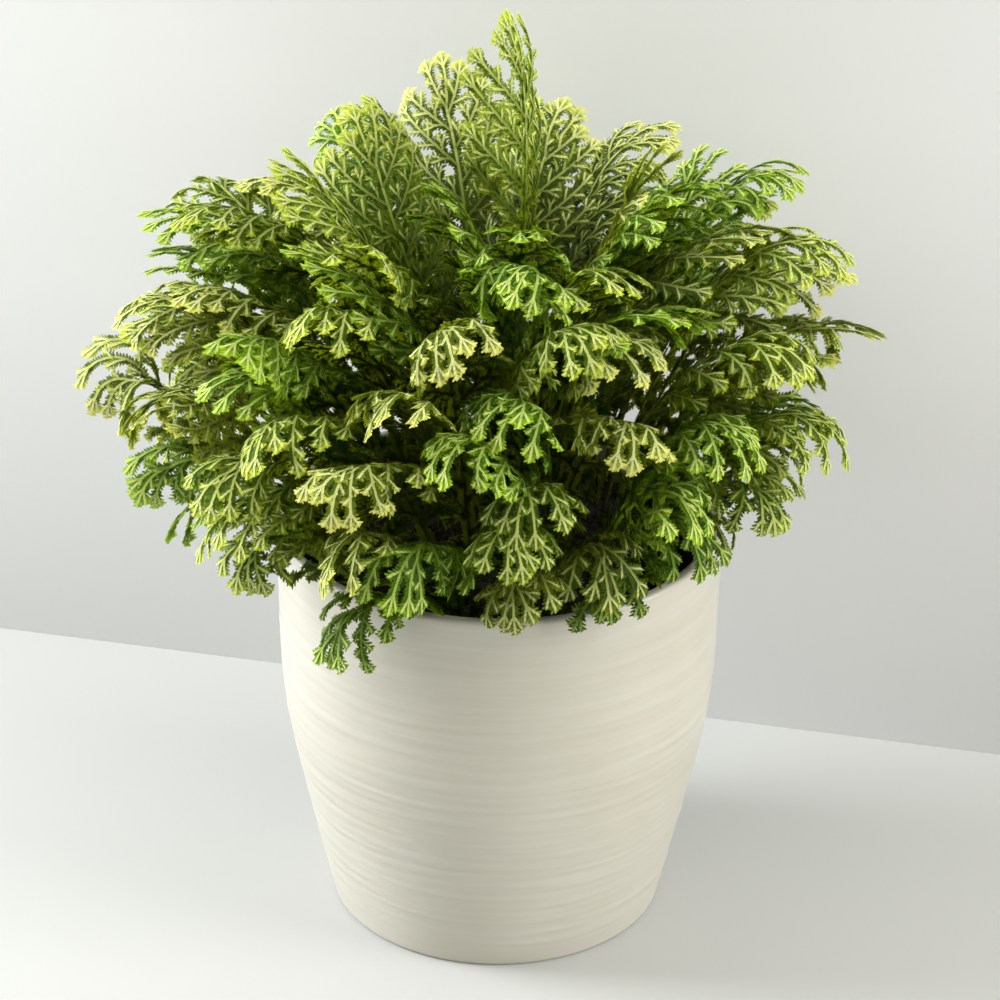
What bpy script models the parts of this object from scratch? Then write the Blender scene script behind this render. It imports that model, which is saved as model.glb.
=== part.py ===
"""A frosty fern, the spike moss with pale-tipped flat fans, growing in a round white glazed pot.

Run it with: blender --background --python part.py

Metres, +Z up. The origin is the middle of the pot's foot, on the surface that the pot stands on.
The front of the plant, the side with the hanging frond, faces -Y.

The pot is one turned cup. The soil is one plug inside it, with a blind hole for each stem.
Each stem is one piece: it arches out of its hole and forks halfway, and both parts end in a frond.
A frond is a flat blade that forks into side branches and blunt fingers, as on the real plant.
"""

import math
import random

import bmesh
import bpy
from mathutils import Quaternion, Vector
from mathutils.bvhtree import BVHTree

# Pot
POT_HEIGHT = 0.150
POT_RADIUS = 0.0783
FOOT_RADIUS = 0.0595
WALL_FLARE = 0.23
WALL_KNEE = 0.0045
WALL_THICKNESS = 0.0045
FLOOR_THICKNESS = 0.007
FOOT_ROUNDING = 0.0015
LIP_ROUNDING = 0.0015
RIDGE_COUNT = 5
RIDGE_HEIGHT = 0.0004
RIDGES_FROM = 0.010
RIDGES_TO = 0.128
POT_STEPS = 40

# Soil
SOIL_EDGE_HEIGHT = 0.134
SOIL_MOUND = 0.006
SOIL_GAP = 0.0003
HOLE_ROOM = 0.0007
HOLE_DEPTH = 0.012

# Fronds: two on each stem, their places in one spiral, and the dome that their tips reach
STEM_COUNT = 52
SPIRAL_LEAP = 13
FROND_COUNT = 2 * STEM_COUNT
GOLDEN_ANGLE = math.pi * (3 - math.sqrt(5))
FIRST_AZIMUTH = math.radians(90)
ROOT_DISC_RADIUS = 0.0620
ROOT_DEPTH = 0.009
DOME_HEIGHT = 0.199
DOME_RADIUS = 0.131
DOME_RISE = 0.097
DOME_DROP = 0.072
DOME_SHOULDER = 0.80
DOME_LOWEST = math.radians(124)
DOME_CROWDING = 0.90
FRONT_REACH = 0.89
BACK_REACH = 0.95
LOW_RIGHT_REACH = 0.78
LEFTWARD_SHIFT = 0.003
CROWN_FROND = 0
CROWN_LIFT = 0.024
HANGING_FROND = 98
HANGING_DROP = 0.014

# Fronds: how the stem and its side stem arch, and how much each one may differ from the rule
ROOT_LEAN = 0.15
ROOT_HANDLE = 0.040
ROOT_HANDLE_SHARE = 0.22
FORK_SHARE = 0.5
SIDE_STALK_BEND = 0.5
FORK_TURN = math.radians(32)
FORK_HANDLE_SHARE = 0.36
TIP_DROOP = math.radians(52)
FRONT_DROOP = math.radians(22)
FULL_DROOP_FROM = math.radians(50)
MOST_DROOP = math.radians(160)
TIP_HANDLE = 0.026
TIP_HANDLE_SHARE = 0.15
POLAR_PLAY = math.radians(4)
SWING_PLAY = math.radians(7)
REACH_PLAY = 0.008
DROOP_PLAY = math.radians(22)
TURN_PLAY = math.radians(58)
ROLL_PLAY = math.radians(34)

# Fronds: blade
BLADE_THICKNESS = 0.0010
BLADE_LENGTH = 0.080
BLADE_SHARE = 0.68
BLADE_SPREAD = 0.0110
BLADE_SPREAD_SHARE = 0.26
BLADE_CURL_RADIUS = 0.040
STALK_HALF_WIDTH = 0.0012
SHOOT_HALF_WIDTH = 0.0026
BRANCH_COUNT = 2
BRANCH_ZONE = 0.72
OUTLINE_BASE = 0.30
OUTLINE_BULGE = 1.05
OUTLINE_START = 0.10
OUTLINE_RISE = 0.5
OUTLINE_FALL = 0.75
AXIS_SHARE = 0.74
BRANCH_LEAN = math.radians(48)
BRANCH_LEAN_PLAY = math.radians(5)
BRANCH_LEAN_LOSS = math.radians(14)
BRANCH_LIFT_PLAY = 0.10
KNUCKLE_SHARE = 0.46
KNUCKLE_TURN = 0.14
CROTCH_TURN = 0.5
STALK_CROTCH = 0.0020
AXIS_CROTCH = 0.0030
FINGER_CROTCH = 0.0021
FINGER_SPREAD = 0.36
END_FINGER_SPREAD = 0.36
OUTER_FINGER_SHARE = 0.90
FINGER_HALF_WIDTH = 0.0058
FINGER_END = 0.0030

# Fronds: drawing one again until it stands clear
CLEARANCE = 0.0006
FORK_CLEAR = 0.008
MOST_TRIES = 400
LOOSER_EVERY = 80
NARROWER_FROM = 240
NARROWER = 0.98
SEED = 39


def clear_scene():
    for thing in list(bpy.data.objects):
        bpy.data.objects.remove(thing, do_unlink=True)


def make_material(name, colour, roughness):
    material = bpy.data.materials.new(name)
    material.use_nodes = True
    shader = material.node_tree.nodes["Principled BSDF"]
    shader.inputs["Base Color"].default_value = (*colour, 1)
    shader.inputs["Roughness"].default_value = roughness
    shader.inputs["Metallic"].default_value = 0.0
    material.diffuse_color = (*colour, 1)
    return material


def add_object(name, mesh, material):
    thing = bpy.data.objects.new(name, mesh)
    bpy.context.scene.collection.objects.link(thing)
    mesh.materials.append(material)
    return thing


# Pot: a turned cup


def wall_radius(height):
    """A straight flare from the foot that a hyperbola rounds into an upright wall."""
    short = POT_RADIUS - FOOT_RADIUS - WALL_FLARE * height
    return POT_RADIUS - 0.5 * (short + math.hypot(short, WALL_KNEE))


def cavity_radius(height):
    """The inside is two plain cones that meet at half height."""
    waist = 0.5 * POT_HEIGHT
    low, high = (FLOOR_THICKNESS, waist) if height < waist else (waist, POT_HEIGHT)
    mix = (height - low) / (high - low)
    return (1 - mix) * wall_radius(low) + mix * wall_radius(high) - WALL_THICKNESS


def pot_profile():
    """From the middle of the floor up the inside, over the lip and down the ridged outside to the foot."""
    inside = [(0.0, FLOOR_THICKNESS)]
    for height in (FLOOR_THICKNESS, 0.5 * POT_HEIGHT, POT_HEIGHT - LIP_ROUNDING):
        inside.append((cavity_radius(height), height))
    lip = cavity_radius(POT_HEIGHT)
    top = [(lip + LIP_ROUNDING, POT_HEIGHT)]
    top.append((wall_radius(POT_HEIGHT) - LIP_ROUNDING, POT_HEIGHT))
    outside = [(wall_radius(POT_HEIGHT), POT_HEIGHT - LIP_ROUNDING)]
    step = (RIDGES_TO - RIDGES_FROM) / (2 * RIDGE_COUNT)
    for number in range(2 * RIDGE_COUNT + 1):
        height = RIDGES_TO - number * step
        proud = RIDGE_HEIGHT if number % 2 else 0.0
        outside.append((wall_radius(height) + proud, height))
    foot = [(wall_radius(FOOT_ROUNDING), FOOT_ROUNDING), (FOOT_RADIUS - FOOT_ROUNDING, 0.0), (0.0, 0.0)]
    return inside + top + outside + foot


def turned_mesh(name, profile):
    mesh = bpy.data.meshes.new(name)
    points = [(radius, 0.0, height) for radius, height in profile]
    mesh.from_pydata(points, [(n, n + 1) for n in range(len(points) - 1)], [])
    return mesh


def turn(thing):
    """Turns a profile, drawn at +X and running down its outer side, round the Z axis."""
    screw = thing.modifiers.new("Turn", "SCREW")
    screw.axis = "Z"
    screw.steps = POT_STEPS
    screw.render_steps = POT_STEPS
    screw.use_merge_vertices = True
    screw.merge_threshold = 0.00001
    screw.use_smooth_shade = True


def make_pot(material):
    pot = add_object("pot", turned_mesh("pot", pot_profile()), material)
    turn(pot)
    return pot


# Soil: a mounded plug with a blind hole for each stem


def soil_height(radius):
    share = radius / (POT_RADIUS - WALL_THICKNESS)
    return SOIL_EDGE_HEIGHT + SOIL_MOUND * (1 - share * share)


def soil_profile():
    outer = []
    for height in (SOIL_EDGE_HEIGHT, 0.5 * POT_HEIGHT, FLOOR_THICKNESS + SOIL_GAP):
        outer.append((cavity_radius(height) - SOIL_GAP, height))
    top = [(0.5 * outer[0][0], soil_height(0.5 * outer[0][0]))]
    return [(0.0, soil_height(0.0))] + top + outer + [(0.0, FLOOR_THICKNESS + SOIL_GAP)]


def make_soil(material, rooted):
    soil = add_object("soil", turned_mesh("soil", soil_profile()), material)
    turn(soil)
    drill = bmesh.new()
    size = (2 * STALK_HALF_WIDTH + 2 * HOLE_ROOM, BLADE_THICKNESS + 2 * HOLE_ROOM, 2 * HOLE_DEPTH)
    for frond in rooted:
        root, _, side, _ = frond.frame(0.0)
        heading = (frond.frame(frond.bend_at)[0] - root).normalized()
        upper = heading.cross(side)
        for corner in bmesh.ops.create_cube(drill, size=1.0)["verts"]:
            across, through, down = (a * b for a, b in zip(corner.co, size))
            corner.co = root + across * side + through * upper + (ROOT_DEPTH + down) * heading
    mesh = bpy.data.meshes.new("stem_holes")
    drill.to_mesh(mesh)
    drill.free()
    cutter = bpy.data.objects.new("stem_holes", mesh)
    bpy.context.scene.collection.objects.link(cutter)
    cutter.hide_render = True
    cutter.display_type = "WIRE"
    cut = soil.modifiers.new("Stem holes", "BOOLEAN")
    cut.operation = "DIFFERENCE"
    cut.solver = "EXACT"
    cut.object = cutter
    return soil


# Fronds: the surface that a blade lies on


class Frond:
    """One frond: its arching axis, and the curled surface that its flat blade is laid on."""

    SAMPLES = 40

    def __init__(self, place, draw, trial, parent=None):
        """Later trials may stray further from the rule, and are narrower in the end."""
        loose = 1.0 + trial / LOOSER_EVERY
        share = (place + 0.5) / FROND_COUNT
        self.place = place
        self.azimuth = FIRST_AZIMUTH + place * GOLDEN_ANGLE
        polar = math.acos(1 - share**DOME_CROWDING * (1 - math.cos(DOME_LOWEST)))
        polar += loose * draw.uniform(-POLAR_PLAY, POLAR_PLAY)
        swing = self.azimuth + loose * draw.uniform(-SWING_PLAY, SWING_PLAY)
        tip = self.tip_point(polar, swing, draw.uniform(-REACH_PLAY, REACH_PLAY))
        droop = self.droop(polar, swing) + draw.uniform(-DROOP_PLAY, DROOP_PLAY)
        start = self.fork_start(parent, tip) if parent else self.soil_start(share, polar, tip)
        turn = swing + draw.uniform(-TURN_PLAY, TURN_PLAY)
        self.bend(start, tip, min(droop, MOST_DROOP), turn)
        self.roll = draw.uniform(-ROLL_PLAY, ROLL_PLAY)
        self.narrowed = NARROWER ** max(0, trial - NARROWER_FROM)
        self.branch_draw = draw.random()
        self.measure()
        stalk = self.length - self.blade
        self.bend_at = (SIDE_STALK_BEND if parent else FORK_SHARE) * stalk

    def soil_start(self, share, polar, tip):
        """The root in the soil, and the first handle almost straight above it."""
        radius = ROOT_DISC_RADIUS * math.sqrt(share)
        out = Vector((math.cos(self.azimuth), math.sin(self.azimuth), 0))
        root = radius * out
        root.z = soil_height(radius) - ROOT_DEPTH
        rise = ROOT_LEAN * polar
        heading = math.sin(rise) * out + math.cos(rise) * Vector((0, 0, 1))
        return root, root + heading * (ROOT_HANDLE_SHARE * (tip - root).length + ROOT_HANDLE)

    def fork_start(self, parent, tip):
        """The fork on the parent's stalk, and the first handle turned off it towards this frond's tip."""
        root, heading, side, upper = parent.frame(parent.bend_at)
        self.fork_side = 1 if side.dot(tip - root) > 0 else -1
        heading = Quaternion(upper, self.fork_side * FORK_TURN) @ heading
        return root, root + heading * (FORK_HANDLE_SHARE * (tip - root).length)

    def tip_point(self, polar, swing, longer):
        front = max(0.0, -math.sin(swing)) ** 2
        back = max(0.0, math.sin(swing)) ** 2
        reach = 1 - (1 - FRONT_REACH) * front - (1 - BACK_REACH) * back
        low_right = max(0.0, -math.cos(polar)) * max(0.0, math.cos(swing))
        reach -= (1 - LOW_RIGHT_REACH) * min(1.0, 2 * low_right)
        radius = (DOME_RADIUS * reach + longer) * math.sin(polar) ** DOME_SHOULDER
        level = math.copysign(abs(math.cos(polar)) ** DOME_SHOULDER, math.cos(polar))
        height = DOME_HEIGHT + (DOME_RISE if level > 0 else DOME_DROP) * level + longer
        if self.place == CROWN_FROND:
            height += CROWN_LIFT
        if self.place == HANGING_FROND:
            height -= HANGING_DROP
        shift = LEFTWARD_SHIFT * math.sin(polar)
        return Vector((radius * math.cos(swing) - shift, radius * math.sin(swing), height))

    def droop(self, polar, swing):
        """The angle from straight up at which the tip points."""
        front = max(0.0, -math.sin(swing)) ** 2
        return polar + (TIP_DROOP + FRONT_DROOP * front) * min(1.0, polar / FULL_DROOP_FROM)

    def bend(self, start, tip, droop, turn):
        """A cubic curve that ends leaning past the dome's own slope."""
        root, first = start
        out_tip = Vector((math.cos(turn), math.sin(turn), 0))
        up = Vector((0, 0, 1))
        end = TIP_HANDLE_SHARE * (tip - root).length + TIP_HANDLE
        last = tip - end * (math.sin(droop) * out_tip + math.cos(droop) * up)
        self.handles = (root, first, last, tip)
        self.across = up.cross(out_tip)

    def curve(self, t):
        a, b, c, d = self.handles
        u = 1 - t
        place = u**3 * a + 3 * u * u * t * b + 3 * u * t * t * c + t**3 * d
        heading = 3 * u * u * (b - a) + 6 * u * t * (c - b) + 3 * t * t * (d - c)
        return place, heading.normalized()

    def measure(self):
        self.samples = [self.curve(n / self.SAMPLES) for n in range(self.SAMPLES + 1)]
        self.run = [0.0]
        for before, after in zip(self.samples, self.samples[1:]):
            self.run.append(self.run[-1] + (after[0] - before[0]).length)
        self.length = self.run[-1]
        self.blade = min(BLADE_LENGTH, BLADE_SHARE * self.length)
        self.spread = (BLADE_SPREAD + BLADE_SPREAD_SHARE * self.blade) * self.narrowed

    def frame(self, along):
        """Place, heading, sideways and upper direction at a distance from the root."""
        last = len(self.run) - 2
        step = next((n for n in range(last) if self.run[n + 1] > along), last)
        mix = (along - self.run[step]) / (self.run[step + 1] - self.run[step])
        place = self.samples[step][0].lerp(self.samples[step + 1][0], mix)
        heading = self.samples[step][1].lerp(self.samples[step + 1][1], mix).normalized()
        side = (self.across - heading * heading.dot(self.across)).normalized()
        side = Quaternion(heading, self.roll * along / self.length) @ side
        return place, heading, side, heading.cross(side)

    def point(self, along, sideways, lift=0.0):
        """Lays a flat point, measured from the root, on the curled surface."""
        place, _, side, upper = self.frame(along)
        angle = sideways / BLADE_CURL_RADIUS
        place = place + side * (BLADE_CURL_RADIUS * math.sin(angle))
        place -= upper * (BLADE_CURL_RADIUS * (1 - math.cos(angle)))
        return place + lift * (upper * math.cos(angle) + side * math.sin(angle))


# Fronds: the flat blade, a tree of strips with a triangle at each fork


def turned(direction, angle):
    c, s = math.cos(angle), math.sin(angle)
    return (c * direction[0] - s * direction[1], s * direction[0] + c * direction[1])


AHEAD = (1.0, 0.0)


class BladeMesh:
    """Builds the strips of one frond; flat points are (along, sideways) from the root."""

    def __init__(self, frond):
        self.frond = frond
        self.mesh = bmesh.new()

    def start(self, along):
        """The first edge (left, right), across the stalk."""
        return self.corner((along, STALK_HALF_WIDTH)), self.corner((along, -STALK_HALF_WIDTH))

    def corner(self, flat, lift=0.0):
        vertex = self.mesh.verts.new(self.frond.point(flat[0], flat[1], lift))
        return (vertex, flat)

    def face(self, *corners):
        self.mesh.faces.new([corner[0] for corner in corners])

    def strip(self, edge, end, direction, half_width, lift=0.0):
        """Extends the edge (left, right) by one quad to a new centre; returns the new edge."""
        sideways = turned(direction, math.pi / 2)
        left = (end[0] + sideways[0] * half_width, end[1] + sideways[1] * half_width)
        right = (end[0] - sideways[0] * half_width, end[1] - sideways[1] * half_width)
        new = (self.corner(left, lift), self.corner(right, lift))
        self.face(edge[1], new[1], new[0])
        self.face(edge[1], new[0], edge[0])
        return new

    def fork(self, edge, direction, ahead, lift=0.0):
        """Splits the edge in two round a crotch point; returns the left and the right edge."""
        middle = [(a + b) / 2 for a, b in zip(edge[0][1], edge[1][1])]
        crotch = self.corner((middle[0] + direction[0] * ahead, middle[1] + direction[1] * ahead), lift)
        self.face(edge[1], crotch, edge[0])
        return (edge[0], crotch), (crotch, edge[1])

    def finger(self, edge, direction, length, half_width, lift):
        """A blunt finger that widens towards its rounded end."""
        start = [(a + b) / 2 for a, b in zip(edge[0][1], edge[1][1])]
        tip = self.corner((start[0] + direction[0] * length, start[1] + direction[1] * length), lift)
        broad = length - FINGER_END
        end = (start[0] + direction[0] * broad, start[1] + direction[1] * broad)
        left, right = self.strip(edge, end, direction, half_width, lift)
        self.face(right, tip, left)


def blade_outline(share):
    """How far the side branches reach, as a share of the furthest, from the blade's base to its tip."""
    bulge = (share + OUTLINE_START) ** OUTLINE_RISE * (1 - share) ** OUTLINE_FALL
    return OUTLINE_BASE + OUTLINE_BULGE * bulge


def grow_stem(parent, child):
    """A whole stem as a thin sheet: the stalk forks, and each part ends in a frond."""
    sheet = BladeMesh(parent)
    edge = sheet.strip(sheet.start(0.0), (parent.bend_at, 0.0), AHEAD, STALK_HALF_WIDTH)
    left, right = sheet.fork(edge, turned(AHEAD, child.fork_side * CROTCH_TURN), STALK_CROTCH)
    branch, edge = (left, right) if child.fork_side > 0 else (right, left)
    grow_frond(sheet, edge, parent)
    sheet.frond = child
    branch = sheet.strip(branch, (child.bend_at, 0.0), AHEAD, STALK_HALF_WIDTH)
    grow_frond(sheet, branch, child)
    return sheet.mesh


def grow_frond(sheet, edge, frond):
    """Extends an edge halfway up a stalk to the frond's side branches and its end fingers."""
    draw = random.Random(frond.branch_draw)
    stalk = frond.length - frond.blade
    side = 1 if draw.random() < 0.5 else -1
    for number in range(BRANCH_COUNT):
        share = number / BRANCH_COUNT
        along = stalk + frond.blade * BRANCH_ZONE * share
        edge = sheet.strip(edge, (along, 0.0), AHEAD, SHOOT_HALF_WIDTH)
        left, right = sheet.fork(edge, turned(AHEAD, side * CROTCH_TURN), AXIS_CROTCH)
        branch, edge = (left, right) if side > 0 else (right, left)
        grow_branch(sheet, branch, frond, share, side, draw)
        side = -side
    last_fork = stalk + AXIS_SHARE * frond.blade
    edge = sheet.strip(edge, (last_fork, 0.0), AHEAD, SHOOT_HALF_WIDTH)
    left, right = sheet.fork(edge, AHEAD, FINGER_CROTCH)
    for part, spread in ((left, END_FINGER_SPREAD), (right, -END_FINGER_SPREAD)):
        sheet.finger(part, turned(AHEAD, spread), frond.length - last_fork, FINGER_HALF_WIDTH, 0.0)


def grow_branch(sheet, edge, frond, share, side, draw):
    """A side branch: a short leafy run that forks into two fingers, the outer one shorter."""
    lean = BRANCH_LEAN + draw.uniform(-BRANCH_LEAN_PLAY, BRANCH_LEAN_PLAY) - BRANCH_LEAN_LOSS * share
    reach = frond.spread * blade_outline(share) / math.sin(lean)
    lift = draw.uniform(-BRANCH_LIFT_PLAY, BRANCH_LIFT_PLAY)
    direction = turned(AHEAD, side * lean)
    start = [(a + b) / 2 for a, b in zip(edge[0][1], edge[1][1])]
    knuckle = KNUCKLE_SHARE * reach
    middle = (start[0] + direction[0] * knuckle, start[1] + direction[1] * knuckle)
    edge = sheet.strip(edge, middle, direction, SHOOT_HALF_WIDTH, lift * knuckle)
    bent = turned(direction, -side * KNUCKLE_TURN)
    left, right = sheet.fork(edge, bent, FINGER_CROTCH, lift * knuckle)
    width = FINGER_HALF_WIDTH * frond.narrowed
    for part, spread in ((left, FINGER_SPREAD), (right, -FINGER_SPREAD)):
        outer = OUTER_FINGER_SHARE if spread * side > 0 else 1.0
        sheet.finger(part, turned(bent, spread), outer * (reach - knuckle), width, lift * reach)


# Fronds: bending each one clear of the pot and of those before it


def surface_tree(frond, thickness, start=0.0):
    """A search tree of one frond's skin beyond a start, to test whether two fronds touch."""
    flat = BladeMesh(frond)
    edge = flat.strip(flat.start(start), (frond.bend_at, 0.0), AHEAD, STALK_HALF_WIDTH)
    grow_frond(flat, edge, frond)
    sheet = flat.mesh
    sheet.normal_update()
    both = [vertex.co + vertex.normal * thickness / 2 for vertex in sheet.verts]
    both += [vertex.co - vertex.normal * thickness / 2 for vertex in sheet.verts]
    sheet.verts.index_update()
    count = len(sheet.verts)
    faces = []
    for face in sheet.faces:
        corners = [vertex.index for vertex in face.verts]
        faces.append(corners)
        faces.append([corner + count for corner in corners])
    for rim in sheet.edges:
        if rim.is_boundary:
            a, b = (vertex.index for vertex in rim.verts)
            faces.append([a, b, b + count, a + count])
    sheet.free()
    return BVHTree.FromPolygons(both, faces)


def pot_tree():
    """The pot's lip and wall, with the clearance added, as a coarse turned surface."""
    profile = [(POT_RADIUS - WALL_THICKNESS - CLEARANCE, SOIL_EDGE_HEIGHT)]
    profile.append((POT_RADIUS - WALL_THICKNESS - CLEARANCE, POT_HEIGHT + CLEARANCE))
    profile.append((POT_RADIUS + 2 * CLEARANCE, POT_HEIGHT + CLEARANCE))
    profile.append((POT_RADIUS + 2 * CLEARANCE, 0.5 * POT_HEIGHT))
    points = []
    for step in range(POT_STEPS):
        angle = 2 * math.pi * step / POT_STEPS
        points += [(r * math.cos(angle), r * math.sin(angle), z) for r, z in profile]
    rows = len(profile)
    faces = []
    for step in range(POT_STEPS):
        here, there = step * rows, (step + 1) % POT_STEPS * rows
        faces += [[here + n, here + n + 1, there + n + 1, there + n] for n in range(rows - 1)]
    return BVHTree.FromPolygons(points, faces)


def plan_stems():
    """Pairs of fronds; each frond in turn is drawn again until it stands clear of the rest."""
    fronds, trees, pot = [], {}, pot_tree()
    for place in range(FROND_COUNT):
        side_frond = place // SPIRAL_LEAP % 2 == 1
        parent = fronds[place - SPIRAL_LEAP] if side_frond else None
        draw = random.Random(SEED * 1000 + place)
        for trial in range(MOST_TRIES):
            frond = Frond(place, draw, trial, parent)
            if stands_clear(frond, parent, trees, pot):
                break
        else:
            print(f"frond {place} touches another")
        fronds.append(frond)
        trees[frond] = surface_tree(frond, BLADE_THICKNESS)
        if frond.narrowed < 1:
            print(f"frond {place} is narrowed to {frond.narrowed:.2f}")
    return [(a, b) for a, b in zip(fronds, fronds[SPIRAL_LEAP:]) if a.place // SPIRAL_LEAP % 2 == 0]


def stands_clear(frond, parent, trees, pot):
    """Tests a frond against the pot and the rest; against its own parent, only beyond the fork."""
    tree = surface_tree(frond, BLADE_THICKNESS + 2 * CLEARANCE)
    if tree.overlap(pot) or any(tree.overlap(trees[other]) for other in trees if other is not parent):
        return False
    if parent is None:
        return True
    beyond = surface_tree(frond, BLADE_THICKNESS + 2 * CLEARANCE, FORK_CLEAR)
    return not beyond.overlap(trees[parent])


def make_stem(number, parent, child, material):
    name = f"stem_{number + 1:02d}"
    sheet = grow_stem(parent, child)
    mesh = bpy.data.meshes.new(name)
    sheet.to_mesh(mesh)
    sheet.free()
    thing = add_object(name, mesh, material)
    solid = thing.modifiers.new("Thickness", "SOLIDIFY")
    solid.thickness = BLADE_THICKNESS
    solid.offset = 0.0
    return thing


def main():
    clear_scene()
    white_glaze = make_material("white_glaze", (0.82, 0.80, 0.76), 0.35)
    potting_soil = make_material("potting_soil", (0.035, 0.022, 0.015), 0.95)
    greens = []
    for number, colour in enumerate(((0.13, 0.26, 0.03), (0.20, 0.36, 0.05), (0.30, 0.45, 0.09))):
        greens.append(make_material(f"leaf_green_{number + 1}", colour, 0.5))
    stems = plan_stems()
    make_pot(white_glaze)
    make_soil(potting_soil, [parent for parent, _ in stems])
    for number, (parent, child) in enumerate(stems):
        make_stem(number, parent, child, greens[number % len(greens)])


main()
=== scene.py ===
# %% [markdown]
# # A frosty fern in a white pot
# This lesson dresses a plain solid model of a potted frosty fern. The solid model holds the right places and
# sizes: a pot, the soil in it, and 52 fronds as thin branching plates. Here the pot gets its brushed glaze, the
# soil its crumbs, and each frond its thousands of small scale leaves.
#
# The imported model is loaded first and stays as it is. Every finer piece is built where the model has its own.

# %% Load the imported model
import bisect
import math
import random

import bpy
import numpy as np
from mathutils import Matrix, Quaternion, Vector
from mathutils.bvhtree import BVHTree


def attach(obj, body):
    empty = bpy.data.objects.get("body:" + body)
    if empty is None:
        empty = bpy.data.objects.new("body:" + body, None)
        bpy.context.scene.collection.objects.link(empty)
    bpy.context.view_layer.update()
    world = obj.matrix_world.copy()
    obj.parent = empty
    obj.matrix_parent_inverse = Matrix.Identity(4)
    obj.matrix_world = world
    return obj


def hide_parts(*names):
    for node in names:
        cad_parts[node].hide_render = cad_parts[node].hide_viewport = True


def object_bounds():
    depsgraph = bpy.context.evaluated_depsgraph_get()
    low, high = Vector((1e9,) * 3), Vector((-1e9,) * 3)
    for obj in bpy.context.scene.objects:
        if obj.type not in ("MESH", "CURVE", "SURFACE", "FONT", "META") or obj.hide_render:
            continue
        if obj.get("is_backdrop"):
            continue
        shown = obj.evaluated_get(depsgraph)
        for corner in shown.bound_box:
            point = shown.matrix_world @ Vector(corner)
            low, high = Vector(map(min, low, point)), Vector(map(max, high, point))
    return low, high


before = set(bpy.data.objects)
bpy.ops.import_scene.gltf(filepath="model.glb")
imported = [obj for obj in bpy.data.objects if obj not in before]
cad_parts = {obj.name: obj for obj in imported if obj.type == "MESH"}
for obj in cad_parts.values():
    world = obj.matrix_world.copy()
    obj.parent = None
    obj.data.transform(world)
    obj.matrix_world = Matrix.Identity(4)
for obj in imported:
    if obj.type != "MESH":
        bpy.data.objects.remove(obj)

cad_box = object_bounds()
for name, corner in zip(("lowest", "highest"), cad_box):
    print(f"{name} corner of the model: {corner.x:.4f} {corner.y:.4f} {corner.z:.4f}")

# %% [markdown]
# ## The rule that the fronds follow
# A spike moss grows its leafy stems from all over the soil and spreads them into a mound. The solid model places
# them in a sunflower spiral and lets each tip reach a dome; each stem then arches along a cubic curve. The same
# rule is written out again here, because the fine shoots are laid on the same curled surfaces. Tracing them over
# by hand, or reading them off the plates, would lose the stem's direction and its upper side.

# %% Sizes of the rule, in metres and radians, as in the solid model
POT_HEIGHT = 0.150
POT_RADIUS = 0.0783
FOOT_RADIUS = 0.0595
WALL_FLARE = 0.23
WALL_KNEE = 0.0045
WALL_THICKNESS = 0.0045
SOIL_EDGE_HEIGHT = 0.134
SOIL_MOUND = 0.006

STEM_COUNT = 52
SPIRAL_LEAP = 13
FROND_COUNT = 2 * STEM_COUNT
GOLDEN_ANGLE = math.pi * (3 - math.sqrt(5))
FIRST_AZIMUTH = math.radians(90)
ROOT_DISC_RADIUS = 0.0620
ROOT_DEPTH = 0.009
DOME_HEIGHT = 0.199
DOME_RADIUS = 0.131
DOME_RISE = 0.097
DOME_DROP = 0.072
DOME_SHOULDER = 0.80
DOME_LOWEST = math.radians(124)
DOME_CROWDING = 0.90
FRONT_REACH = 0.89
BACK_REACH = 0.95
LOW_RIGHT_REACH = 0.78
LEFTWARD_SHIFT = 0.003
CROWN_FROND = 0
CROWN_LIFT = 0.024
HANGING_FROND = 98
HANGING_DROP = 0.014

ROOT_LEAN = 0.15
ROOT_HANDLE = 0.040
ROOT_HANDLE_SHARE = 0.22
FORK_SHARE = 0.5
SIDE_STALK_BEND = 0.5
FORK_TURN = math.radians(32)
FORK_HANDLE_SHARE = 0.36
TIP_DROOP = math.radians(52)
FRONT_DROOP = math.radians(22)
FULL_DROOP_FROM = math.radians(50)
MOST_DROOP = math.radians(160)
TIP_HANDLE = 0.026
TIP_HANDLE_SHARE = 0.15
POLAR_PLAY = math.radians(4)
SWING_PLAY = math.radians(7)
REACH_PLAY = 0.008
DROOP_PLAY = math.radians(22)
TURN_PLAY = math.radians(58)
ROLL_PLAY = math.radians(34)

BLADE_LENGTH = 0.080
BLADE_SHARE = 0.68
BLADE_SPREAD = 0.0110
BLADE_SPREAD_SHARE = 0.26
BLADE_CURL_RADIUS = 0.040
BRANCH_ZONE = 0.72
OUTLINE_BASE = 0.30
OUTLINE_BULGE = 1.05
OUTLINE_START = 0.10
OUTLINE_RISE = 0.5
OUTLINE_FALL = 0.75
AXIS_SHARE = 0.74
SHOOT_HALF_WIDTH = 0.0026
FINGER_CROTCH = 0.0021
END_FINGER_SPREAD = 0.36
MOST_TRIES = 400
LOOSER_EVERY = 80
NARROWER_FROM = 240
NARROWER = 0.98
SEED = 39
LIGHTLESS = Vector((0, 0, 0.12))
FACING_SHARE = 0.85


def soil_height(radius):
    share = radius / (POT_RADIUS - WALL_THICKNESS)
    return SOIL_EDGE_HEIGHT + SOIL_MOUND * (1 - share * share)


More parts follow.
